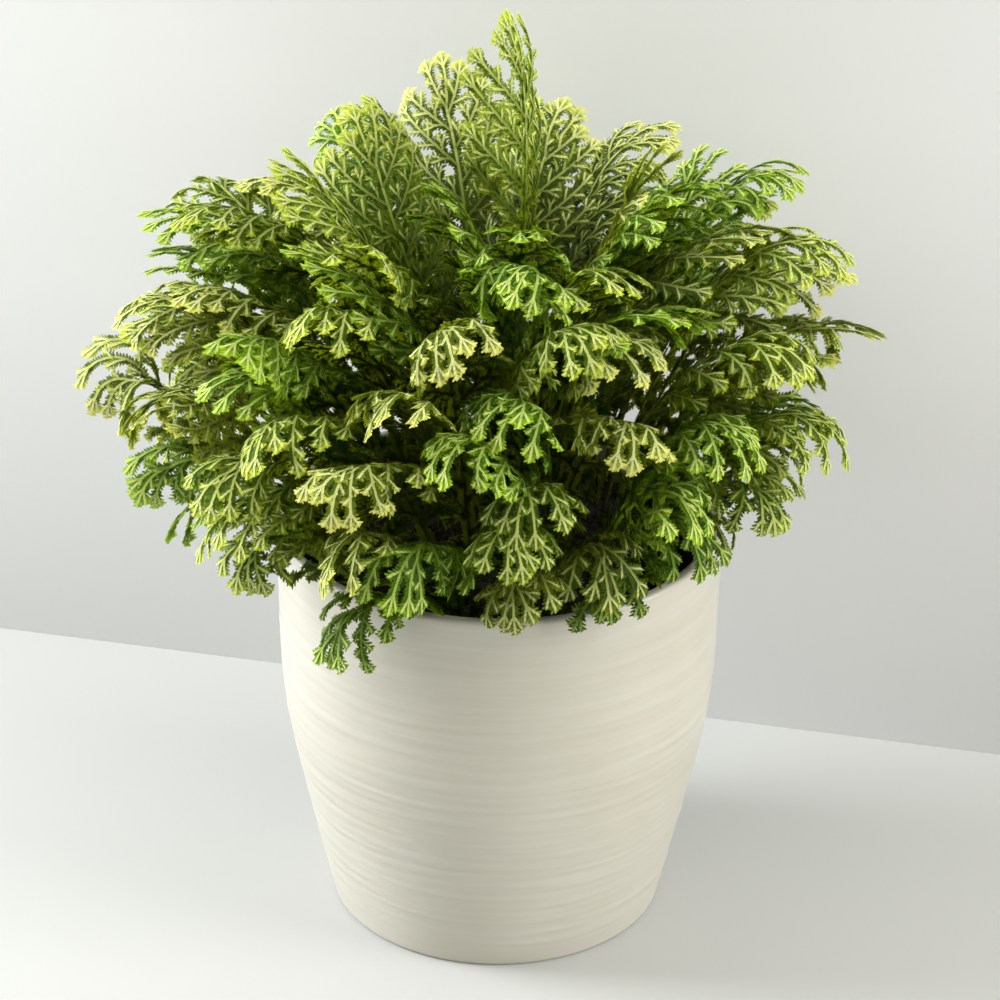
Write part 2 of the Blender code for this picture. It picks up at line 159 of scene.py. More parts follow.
# %% One frond: its arching axis and the surface that its blade lies on
class Frond:
    SAMPLES = 40

    def __init__(self, place, draw, trial, parent=None):
        loose = 1.0 + trial / LOOSER_EVERY
        share = (place + 0.5) / FROND_COUNT
        self.place, self.face = place, 1
        self.azimuth = FIRST_AZIMUTH + place * GOLDEN_ANGLE
        polar = math.acos(1 - share**DOME_CROWDING * (1 - math.cos(DOME_LOWEST)))
        polar += loose * draw.uniform(-POLAR_PLAY, POLAR_PLAY)
        swing = self.azimuth + loose * draw.uniform(-SWING_PLAY, SWING_PLAY)
        tip = self.tip_point(polar, swing, draw.uniform(-REACH_PLAY, REACH_PLAY))
        droop = self.droop(polar, swing) + draw.uniform(-DROOP_PLAY, DROOP_PLAY)
        start = self.fork_start(parent, tip) if parent else self.soil_start(share, polar, tip)
        turn = swing + draw.uniform(-TURN_PLAY, TURN_PLAY)
        self.bend(start, tip, min(droop, MOST_DROOP), turn)
        self.roll = draw.uniform(-ROLL_PLAY, ROLL_PLAY)
        self.narrowed = NARROWER ** max(0, trial - NARROWER_FROM)
        self.branch_draw = draw.random()
        self.measure()
        self.stalk = self.length - self.blade
        self.bend_at = (SIDE_STALK_BEND if parent else FORK_SHARE) * self.stalk

    def soil_start(self, share, polar, tip):
        """The root in the soil, and the first handle almost straight above it."""
        radius = ROOT_DISC_RADIUS * math.sqrt(share)
        out = Vector((math.cos(self.azimuth), math.sin(self.azimuth), 0))
        root = radius * out
        root.z = soil_height(radius) - ROOT_DEPTH
        rise = ROOT_LEAN * polar
        heading = math.sin(rise) * out + math.cos(rise) * Vector((0, 0, 1))
        return root, root + heading * (ROOT_HANDLE_SHARE * (tip - root).length + ROOT_HANDLE)

    def fork_start(self, parent, tip):
        """The fork on the parent's stalk, and the first handle turned off it towards this frond's tip."""
        root, heading, side, upper = parent.frame(parent.bend_at)
        self.fork_side = 1 if side.dot(tip - root) > 0 else -1
        heading = Quaternion(upper, self.fork_side * FORK_TURN) @ heading
        return root, root + heading * (FORK_HANDLE_SHARE * (tip - root).length)

    def tip_point(self, polar, swing, longer):
        front = max(0.0, -math.sin(swing)) ** 2
        back = max(0.0, math.sin(swing)) ** 2
        reach = 1 - (1 - FRONT_REACH) * front - (1 - BACK_REACH) * back
        low_right = max(0.0, -math.cos(polar)) * max(0.0, math.cos(swing))
        reach -= (1 - LOW_RIGHT_REACH) * min(1.0, 2 * low_right)
        radius = (DOME_RADIUS * reach + longer) * math.sin(polar) ** DOME_SHOULDER
        level = math.copysign(abs(math.cos(polar)) ** DOME_SHOULDER, math.cos(polar))
        height = DOME_HEIGHT + (DOME_RISE if level > 0 else DOME_DROP) * level + longer
        if self.place == CROWN_FROND:
            height += CROWN_LIFT
        if self.place == HANGING_FROND:
            height -= HANGING_DROP
        shift = LEFTWARD_SHIFT * math.sin(polar)
        return Vector((radius * math.cos(swing) - shift, radius * math.sin(swing), height))

    def droop(self, polar, swing):
        """The angle from straight up at which the tip points."""
        front = max(0.0, -math.sin(swing)) ** 2
        return polar + (TIP_DROOP + FRONT_DROOP * front) * min(1.0, polar / FULL_DROOP_FROM)

    def bend(self, start, tip, droop, turn):
        """A cubic curve that ends leaning past the dome's own slope."""
        root, first = start
        out_tip = Vector((math.cos(turn), math.sin(turn), 0))
        up = Vector((0, 0, 1))
        end = TIP_HANDLE_SHARE * (tip - root).length + TIP_HANDLE
        last = tip - end * (math.sin(droop) * out_tip + math.cos(droop) * up)
        self.handles = (root, first, last, tip)
        self.across = up.cross(out_tip)

    def curve(self, t):
        a, b, c, d = self.handles
        u = 1 - t
        place = u**3 * a + 3 * u * u * t * b + 3 * u * t * t * c + t**3 * d
        heading = 3 * u * u * (b - a) + 6 * u * t * (c - b) + 3 * t * t * (d - c)
        return place, heading.normalized()

    def measure(self):
        self.samples = [self.curve(n / self.SAMPLES) for n in range(self.SAMPLES + 1)]
        self.run = [0.0]
        for before, after in zip(self.samples, self.samples[1:]):
            self.run.append(self.run[-1] + (after[0] - before[0]).length)
        self.length = self.run[-1]
        self.blade = min(BLADE_LENGTH, BLADE_SHARE * self.length)
        self.spread = (BLADE_SPREAD + BLADE_SPREAD_SHARE * self.blade) * self.narrowed

    def frame(self, along):
        """The place on the axis at a distance from its start, with the ways ahead, sideways and up."""
        last = len(self.run) - 2
        step = min(max(bisect.bisect_right(self.run, along) - 1, 0), last)
        mix = (along - self.run[step]) / (self.run[step + 1] - self.run[step])
        place = self.samples[step][0].lerp(self.samples[step + 1][0], mix)
        heading = self.samples[step][1].lerp(self.samples[step + 1][1], mix).normalized()
        side = (self.across - heading * heading.dot(self.across)).normalized()
        side = Quaternion(heading, self.roll * along / self.length) @ side
        return place, heading, side, heading.cross(side)

    def lay(self, along, sideways, lift=0.0):
        """The place of a flat point on the curled surface, and the surface's upper direction there."""
        place, _, side, upper = self.frame(along)
        angle = sideways / BLADE_CURL_RADIUS
        place = place + side * (BLADE_CURL_RADIUS * math.sin(angle))
        place -= upper * (BLADE_CURL_RADIUS * (1 - math.cos(angle)))
        normal = upper * math.cos(angle) + side * math.sin(angle)
        return place + lift * normal, self.face * normal

    def face_out(self):
        """Turns the upper side of the leaves outwards and to the light."""
        place, normal = self.lay(self.stalk + FACING_SHARE * self.blade, 0.0)
        self.face = 1 if normal.dot(place - LIGHTLESS) > 0 else -1


# %% [markdown]
# Each plate in the solid model was drawn again and again until it stood clear of the others, so the last draw is
# the one that counts. The model itself says which one that was: the frond's axis has to run inside its plate.

# %% Find the draw that each plate was made from
ON_PLATE = 0.0008


def stem_number(frond):
    """Two turns of the spiral's leap hold the first fronds of 13 stems, then their second ones."""
    block, rest = divmod(frond.place, 2 * SPIRAL_LEAP)
    return block * SPIRAL_LEAP + rest % SPIRAL_LEAP


def stem_name(frond):
    return f"stem_{stem_number(frond) + 1:02d}"


skins = {}
for name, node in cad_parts.items():
    faces = [p.vertices for p in node.data.polygons]
    skins[name] = BVHTree.FromPolygons([v.co for v in node.data.vertices], faces)


def plate_marks(frond):
    """Flat points that lie on the frond's plate: three on its axis, and the ends of its last two fingers."""
    last = frond.stalk + AXIS_SHARE * frond.blade
    marks = [(frond.bend_at, 0.0), (frond.stalk, 0.0), (last, 0.0)]
    far = frond.length - last
    along = last + FINGER_CROTCH / 2 + far * math.cos(END_FINGER_SPREAD)
    across = SHOOT_HALF_WIDTH / 2 + far * math.sin(END_FINGER_SPREAD)
    return marks + [(along, across), (along, -across)]


def find_frond(place, parent):
    draw = random.Random(SEED * 1000 + place)
    for trial in range(MOST_TRIES):
        frond = Frond(place, draw, trial, parent)
        skin = skins[stem_name(frond)]
        if all(skin.find_nearest(frond.lay(*mark)[0])[3] < ON_PLATE for mark in plate_marks(frond)):
            frond.trial = trial
            return frond
    raise ValueError(f"no draw runs through the frond at place {place}")


fronds = []
for place in range(FROND_COUNT):
    parent = fronds[place - SPIRAL_LEAP] if place // SPIRAL_LEAP % 2 else None
    fronds.append(find_frond(place, parent))
    fronds[-1].face_out()
print("draws used:", [frond.trial for frond in fronds])

# %% [markdown]
# ## How a frond branches
# Each frond is a fan, three times forked: side branches stand in turn left and right of the axis, twigs in turn
# left and right of each side branch, and every twig ends in two blunt tips. The outline is the same as that of
# the plate. The branching is worked out flat, as distances along and across the frond, and then laid on its
# surface, because a plant's branching rule is simple only in its own plane.

# %% Sizes of the branching
BRANCH_PITCH = 0.0066
BRANCH_START = 0.0
BRANCH_END = 0.95
BRANCH_LEAN = math.radians(52)
BRANCH_LEAN_LOSS = math.radians(16)
BRANCH_LEAN_PLAY = math.radians(5)
BRANCH_TURN = -0.30
TWIG_PITCH = 0.0036
TWIG_FIRST = 0.0036
TWIG_LEAN = math.radians(43)
TWIG_ROOM = 1.02
TWIG_TAPER = 0.42
TWIG_FORK = 0.46
FORK_SPREAD = math.radians(28)
SHORT_TWIG = 0.0056
BRANCH_TIP = 0.0048
END_SPREAD = math.radians(31)
SHOOT_STEP = 0.0024
SLOPE_PLAY = 0.13
TWIG_SLOPE_PLAY = 0.22
SHOOT_DROOP = 9.0
STALK_SHOOT_PITCH = 0.0072
STALK_SHOOTS_FROM = 0.14
STALK_SHOOT_REACH = 0.0120


class Shoot:
    """One leafy shoot on a frond: an arc of flat points, with its lift off the frond's surface."""

    def __init__(self, start, heading, length, turn=0.0, slope=0.0):
        self.start, self.heading, self.length, self.turn, self.slope = start, heading, length, turn, slope

    def at(self, t):
        """(along, sideways, lift) at a share of the length."""
        run = t * self.length
        angle = self.heading + 0.5 * self.turn * t
        along, sideways, lift = self.start
        lift += self.slope * run - SHOOT_DROOP * run * run
        return along + run * math.cos(angle), sideways + run * math.sin(angle), lift

    def slope_at(self, t):
        return self.slope - 2 * SHOOT_DROOP * t * self.length

    def heading_at(self, t):
        return self.heading + self.turn * t


def blade_outline(share):
    """How far the side branches reach, as a share of the furthest, from the blade's base to its tip."""
    if share > 1:
        return OUTLINE_BASE - 0.5 * (share - 1)
    bulge = (share + OUTLINE_START) ** OUTLINE_RISE * (1 - share) ** OUTLINE_FALL
    return OUTLINE_BASE + OUTLINE_BULGE * bulge


# %% How much light reaches a leaf, painted into its colour as shade
MOUND_MIDDLE = 0.165
MOUND_HALF_WIDTH = 0.130
MOUND_HALF_HEIGHT = 0.135
DARK_INSIDE, LIGHT_OUTSIDE = 0.50, 0.92


def in_light(place):
    """0 deep inside the mound, where leaves are old and their colour is darkened as painted shade, and 1 at its
    surface.
    """
    across = math.hypot(place.x, place.y) / MOUND_HALF_WIDTH
    above = (place.z - MOUND_MIDDLE) / MOUND_HALF_HEIGHT
    share = (math.hypot(across, above) - DARK_INSIDE) / (LIGHT_OUTSIDE - DARK_INSIDE)
    return min(1.0, max(0.0, share))


# %% Collect the shoots' axes as the points and edges of a mesh
class Skeleton:
    FIELDS = (("young", 1), ("size", 1), ("tip", 1), ("upper", 3))

    def __init__(self):
        self.places, self.edges = [], []
        self.fields = {name: [] for name, _ in self.FIELDS}

    def add(self, frond, shoot, young, size, tip=False):
        """young and size are (at the start, at the end)."""
        steps = max(2, round(shoot.length / SHOOT_STEP))
        first = len(self.places)
        for step in range(steps + 1):
            t = step / steps
            place, upper = frond.lay(*shoot.at(t))
            self.places.append(place)
            young_here = young[0] + (young[1] - young[0]) * t
            # The age colour is dimmed by in_light: painted shade deep inside the mound.
            self.fields["young"].append(young_here * in_light(place))
            self.fields["size"].append(size[0] + (size[1] - size[0]) * t)
            self.fields["tip"].append(float(tip))
            self.fields["upper"] += list(upper)
        self.edges += [(first + n, first + n + 1) for n in range(steps)]

    def object(self, name):
        mesh = bpy.data.meshes.new(name)
        mesh.from_pydata(self.places, self.edges, [])
        for field, width in self.FIELDS:
            kind = "FLOAT" if width == 1 else "FLOAT_VECTOR"
            values = mesh.attributes.new(field, kind, "POINT").data
            values.foreach_set("value" if width == 1 else "vector", self.fields[field])
        thing = bpy.data.objects.new(name, mesh)
        bpy.context.scene.collection.objects.link(thing)
        return thing


# %% Grow twigs, side branches and whole fronds
def grow_twig(skeleton, frond, start, heading, length, slope, outer, size):
    """A twig that ends in two blunt tips, or in one if it is short."""
    young = 0.12 + 0.46 * outer
    ripe = min(1.0, 0.58 + 0.52 * outer)
    if length < SHORT_TWIG:
        shoot = Shoot(start, heading, length, 0.0, slope)
        skeleton.add(frond, shoot, (young, ripe), (size, size), tip=True)
        return
    stem = Shoot(start, heading, TWIG_FORK * length, 0.0, slope)
    middle = young + 0.10
    skeleton.add(frond, stem, (young, middle), (size, size))
    for side, share in ((1, 1.0), (-1, 0.9)):
        part = (1 - TWIG_FORK) * length * share
        tip = Shoot(stem.at(1), heading + side * FORK_SPREAD, part, -side * 0.25, stem.slope_at(1))
        skeleton.add(frond, tip, (middle, ripe), (size, 0.98 * size), tip=True)


def grow_branch(skeleton, frond, start, side, lean, reach, outer, draw, size=1.0):
    """A side branch with its twigs; it curves towards the frond's tip."""
    slope = draw.uniform(-SLOPE_PLAY, SLOPE_PLAY) + 0.10
    branch = Shoot(start, side * lean, reach, side * BRANCH_TURN, slope)
    main = 1 - min(0.5, BRANCH_TIP / reach)
    room = BRANCH_PITCH * math.sin(lean) * TWIG_ROOM
    skeleton.add(frond, Shoot(start, side * lean, reach * main, side * BRANCH_TURN * main, slope),
                 (0.05 + 0.30 * outer, 0.20 + 0.42 * outer), (size, 0.95 * size))
    count = max(0, int((reach * main - TWIG_FIRST) / TWIG_PITCH))
    turn = 1 if draw.random() < 0.5 else -1
    for number in range(count):
        t = (TWIG_FIRST + number * TWIG_PITCH) / reach
        lean_here = turn * (TWIG_LEAN + draw.uniform(-0.08, 0.08))
        length = room / math.sin(TWIG_LEAN) * (1 - TWIG_TAPER * t) * draw.uniform(0.88, 1.10)
        twig_slope = branch.slope_at(t) + draw.uniform(-TWIG_SLOPE_PLAY, TWIG_SLOPE_PLAY)
        grow_twig(skeleton, frond, branch.at(t), branch.heading_at(t) + lean_here, length, twig_slope,
                  0.35 * outer + 0.65 * t, 0.94 * size)
        turn = -turn
    for spread, longer in ((END_SPREAD, 0.92), (0.0, 1.15), (-END_SPREAD, 0.92)):
        grow_twig(skeleton, frond, branch.at(main), branch.heading_at(main) + spread,
                  longer * reach * (1 - main), branch.slope_at(main), 0.25 + 0.75 * outer, 0.90 * size)


def grow_frond(skeleton, frond):
    last = frond.stalk + AXIS_SHARE * frond.blade
    draw = random.Random(frond.branch_draw)
    axis = Shoot((0.0, 0.0, 0.0), 0.0, last)
    axis.at = lambda t: (t * last, 0.0, 0.0)
    skeleton.add(frond, axis, (0.02, 0.50), (1.25, 1.0))
    side = 1 if draw.random() < 0.5 else -1
    bare = STALK_SHOOTS_FROM * frond.stalk
    for number in range(int((frond.stalk - bare) / STALK_SHOOT_PITCH)):
        along = bare + number * STALK_SHOOT_PITCH
        lean = BRANCH_LEAN + draw.uniform(-BRANCH_LEAN_PLAY, BRANCH_LEAN_PLAY)
        reach = STALK_SHOOT_REACH * draw.uniform(0.7, 1.1)
        grow_branch(skeleton, frond, (along, 0.0, 0.0), side, lean, reach, 0.0, draw)
        side = -side
    count = round(frond.blade * (BRANCH_END - BRANCH_START) / BRANCH_PITCH)
    for number in range(count):
        part = BRANCH_START + (BRANCH_END - BRANCH_START) * number / count
        if part > AXIS_SHARE:
            break
        share = part / BRANCH_ZONE
        lean = BRANCH_LEAN - BRANCH_LEAN_LOSS * min(1.0, share)
        lean += draw.uniform(-BRANCH_LEAN_PLAY, BRANCH_LEAN_PLAY)
        reach = frond.spread * blade_outline(share) / math.sin(lean) * draw.uniform(0.92, 1.04)
        start = (frond.stalk + part * frond.blade, 0.0, 0.0)
        grow_branch(skeleton, frond, start, side, lean, reach, 0.35 + 0.65 * part, draw)
        side = -side
    for side in (1, -1):
        reach = frond.length - last
        grow_branch(skeleton, frond, (last, 0.0, 0.0), side, 0.30, reach, 1.0, draw)


# %% [markdown]
# ## The scale leaves
# Spike moss has four rows of leaves: two rows spread left and right in the plane of the shoot, and two rows of
# much smaller, paler ones lie forward along its upper side, where they read as a pale vein. One set of the four
# is modelled here with only a few faces, because it is repeated tens of thousands of times. The end of each tip
# gets a small blunt tuft of pale leaves.
#
# Each leaf has a map that says across it from left to right, and along it from base to tip, with a band of its
# own for side leaves, upper leaves and stems. The material needs nothing else to colour them.

# %% Model one set of four leaves, and one tuft
LEAF_LENGTH = 0.00205
LEAF_WIDTH = 0.00135
LEAF_LEAN = math.radians(56)
LEAF_STAGGER = 0.0006
UPPER_LEAF_LENGTH = 0.00200
UPPER_LEAF_WIDTH = 0.00058
SIDE_BAND = (0.02, 0.48)
UPPER_BAND = (0.52, 0.74)
STEM_BAND = (0.78, 0.98)
BLUNT = ((0.0, 0.95), (0.95, 0.45), (1.0, -0.35), (0.0, -0.95))
POINTED = ((0.0, 1.0), (1.0, 0.0), (0.0, -1.0))


class LeafSet:
    def __init__(self):
        self.points, self.faces, self.maps = [], [], []

    def leaf(self, base, angle, length, width, outline, band, rise=0.0, cup=0.0, drop=0.0):
        """One leaf that points at an angle from straight ahead, +Y; the shoot's upper side is +Z."""
        first = len(self.points)
        ahead = Vector((math.sin(angle), math.cos(angle), 0))
        side = Vector((math.cos(angle), -math.sin(angle), 0))
        places = []
        for out, across in outline:
            place = Vector(base) + ahead * (out * length) + side * (0.5 * across * width)
            place.z += rise * out * length - cup * abs(across) * width - drop * out * out * length
            self.points.append(place)
            places.append((0.5 + 0.5 * across, band[0] + (band[1] - band[0]) * out))
        for n in range(1, len(outline) - 1):
            self.faces.append((first, first + n + 1, first + n))
            self.maps += [places[0], places[n + 1], places[n]]

    def object(self, name):
        mesh = bpy.data.meshes.new(name)
        mesh.from_pydata(self.points, [], self.faces)
        layer = mesh.uv_layers.new(name="leaf")
        layer.uv.foreach_set("vector", [value for place in self.maps for value in place])
        thing = bpy.data.objects.new(name, mesh)
        bpy.context.scene.collection.objects.link(thing)
        thing.hide_render = True
        thing.hide_viewport = True
        return thing


def make_leaf_set():
    leaves = LeafSet()
    for side, back in ((1, 0.0), (-1, LEAF_STAGGER)):
        base = (side * 0.0002, -back, 0.0)
        leaves.leaf(base, side * LEAF_LEAN, LEAF_LENGTH, LEAF_WIDTH, BLUNT, SIDE_BAND, rise=0.12, drop=0.22)
    for side, back in ((1, 0.0003), (-1, 0.0009)):
        base = (side * 0.00015, -back, 0.00030)
        leaves.leaf(base, side * 0.10, UPPER_LEAF_LENGTH, UPPER_LEAF_WIDTH, POINTED, UPPER_BAND, rise=0.12)
    return leaves.object("leaf_set")


def make_tuft():
    leaves = LeafSet()
    for angle, length, rise in ((-1.0, 0.0013, 0.0), (1.0, 0.0013, 0.05), (-0.5, 0.0016, 0.12),
                                (0.5, 0.0016, 0.16), (0.0, 0.0017, 0.25)):
        leaves.leaf((0, -0.0004, 0.0001), angle, length, 0.0010, BLUNT, SIDE_BAND, rise=rise, drop=0.30)
    return leaves.object("tuft")


leaf_set, tuft = make_leaf_set(), make_tuft()
print("faces in a set of leaves:", len(leaf_set.data.polygons), "and in a tuft:", len(tuft.data.polygons))

# %% [markdown]
# ## Nodes from Python
# Two small classes keep the node trees readable. `Flow` wraps one socket, and Python's own operators on it add
# Math nodes. `Tree` adds every other node: it takes the node's type, its settings, and the values or links of its
# sockets. Both work on materials and on Geometry Nodes alike.


# %% Wrap sockets and trees
class Flow:
    def __init__(self, tree, socket):
        self.tree, self.socket = tree, socket

    def maths(self, operation, first, *others, clamp=False):
        settings = {"operation": operation, "use_clamp": clamp}
        inputs = dict(enumerate((first, *others)))
        return self.tree.out("ShaderNodeMath", settings, inputs)

    def __add__(self, other):
        return self.maths("ADD", self, other)

    def __radd__(self, other):
        return self.maths("ADD", other, self)

    def __sub__(self, other):
        return self.maths("SUBTRACT", self, other)

    def __rsub__(self, other):
        return self.maths("SUBTRACT", other, self)

    def __mul__(self, other):
        return self.maths("MULTIPLY", self, other)

    def __rmul__(self, other):
        return self.maths("MULTIPLY", other, self)

    def __gt__(self, other):
        return self.maths("GREATER_THAN", self, other)

    def between(self, low, high):
        """0 below low, 1 above high, and a straight ramp between them."""
        return self.maths("MULTIPLY", self - low, 1 / (high - low), clamp=True)


class Tree:
    def __init__(self, tree):
        self.tree = tree

    def node(self, kind, settings=None, inputs=None):
        node = self.tree.nodes.new(kind)
        for name, value in (settings or {}).items():
            if name == "stops":
                self.set_stops(node.color_ramp, value)
            else:
                setattr(node, name, value)
        for name, value in (inputs or {}).items():
            for one in value if isinstance(value, list) else [value]:
                if isinstance(one, Flow):
                    self.tree.links.new(one.socket, node.inputs[name])
                else:
                    node.inputs[name].default_value = one
        return node

    def out(self, kind, settings=None, inputs=None, output=0):
        return Flow(self, self.node(kind, settings, inputs).outputs[output])

    def set_stops(self, ramp, stops):
        while len(ramp.elements) < len(stops):
            ramp.elements.new(1.0)
        for element, (position, colour) in zip(ramp.elements, stops):
            element.position = position
            element.color = (*colour, 1)

    def mix(self, factor, first, second, blend="MIX"):
        """Mixes two colours."""
        settings = {"data_type": "RGBA", "blend_type": blend}
        return self.out("ShaderNodeMix", settings, {0: factor, 6: first, 7: second}, output=2)


# %% [markdown]
# ## Leaf colour
# Leaves deep in the mound are dark green: they are older, and the shade that falls there is painted into their
# colour as well. Towards the rim of each fan the leaves turn yellow-green, and the blunt tips almost cream. The
# rows of small upper leaves pale sooner than the side leaves, so the shoots show a light vein on green. The map
# made above holds all of this: across is age darkened by the painted shade, and up is the kind of leaf. Thin
# leaves also let light through, so a part of the light is passed on by a Translucent shader.


# %% Leaf material
def make_leaf_material(name, leaf_stops, vein_stops, stem_stops, glow):
    material = bpy.data.materials.new(name)
    material.use_nodes = True
    material.node_tree.nodes.clear()
    tree = Tree(material.node_tree)
    place = tree.node("ShaderNodeSeparateXYZ", inputs={0: tree.out("ShaderNodeUVMap", {"uv_map": "OFBake"})})
    # The map's first value is the leaf's age, darkened by the painted shade deep in the mound.
    age_and_shade, kind = Flow(tree, place.outputs[0]), Flow(tree, place.outputs[1])
    leaf, vein, stem = (tree.out("ShaderNodeValToRGB", {"stops": stops}, {0: age_and_shade})
                        for stops in (leaf_stops, vein_stops, stem_stops))
    base_shade = 1 - kind.between(0.02, 0.30)
    leaf = tree.mix(base_shade * 0.12, leaf, vein)
    colour = tree.mix(kind > 0.50, leaf, vein)
    colour = tree.mix(kind > 0.76, colour, stem)
    shader = tree.out("ShaderNodeBsdfPrincipled", inputs={
        "Base Color": colour, "Roughness": 0.55, "Specular IOR Level": 0.15})
    through = tree.out("ShaderNodeBsdfTranslucent", inputs={"Color": glow})
    both = tree.out("ShaderNodeMixShader", inputs={0: 0.28, 1: shader, 2: through})
    tree.node("ShaderNodeOutputMaterial", inputs={0: both})
    return material


def ramp(*colours):
    """Evenly spaced stops."""
    return [(n / (len(colours) - 1), colour) for n, colour in enumerate(colours)]


deep, green, fresh = (0.006, 0.018, 0.0010), (0.036, 0.088, 0.003), (0.150, 0.270, 0.008)
lime, cream = (0.62, 0.73, 0.055), (0.86, 0.88, 0.20)
stem_stops = ramp(deep, (0.09, 0.16, 0.012), (0.40, 0.52, 0.11))
leaf_greens = [
    make_leaf_material("leaf_green_1", ramp(deep, (0.014, 0.042, 0.002), green, fresh, lime),
                       ramp(deep, (0.22, 0.31, 0.04), (0.66, 0.74, 0.20), (0.88, 0.92, 0.38), (0.88, 0.92, 0.30)),
                       stem_stops, (0.46, 0.58, 0.01, 1)),
    make_leaf_material("leaf_green_2", ramp(deep, (0.014, 0.050, 0.002), (0.042, 0.125, 0.004), (0.13, 0.30, 0.008), (0.42, 0.66, 0.030)),
                       ramp(deep, (0.16, 0.27, 0.03), (0.52, 0.66, 0.14), (0.80, 0.88, 0.29), (0.82, 0.90, 0.26)),
                       stem_stops, (0.40, 0.58, 0.01, 1)),
    make_leaf_material("leaf_green_3", ramp(deep, (0.016, 0.040, 0.002), (0.050, 0.100, 0.004), (0.21, 0.30, 0.012), cream),
                       ramp(deep, (0.28, 0.35, 0.07), (0.74, 0.79, 0.29), (0.92, 0.94, 0.46), (0.92, 0.93, 0.37)),
                       stem_stops, (0.52, 0.58, 0.015, 1)),
]

# %% [markdown]
# ## Setting leaves along the shoots
# A particle system or an array could repeat the leaves, but neither follows thousands of separate axes with its
# own upper side. Geometry Nodes do: the axes become curves, a point is set at every leaf spacing, and a set of
# leaves is placed on each point, turned along the shoot and scaled by the size that the point carries.


# %% Build the tree that dresses the shoots
def add_inputs(tree, rows):
    for name, kind in rows:
        tree.interface.new_socket(name, in_out="INPUT", socket_type=kind)
    tree.interface.new_socket("Geometry", in_out="OUTPUT", socket_type="NodeSocketGeometry")


def named(tree, name, kind="FLOAT"):
    return tree.out("GeometryNodeInputNamedAttribute", {"data_type": kind}, {"Name": name})


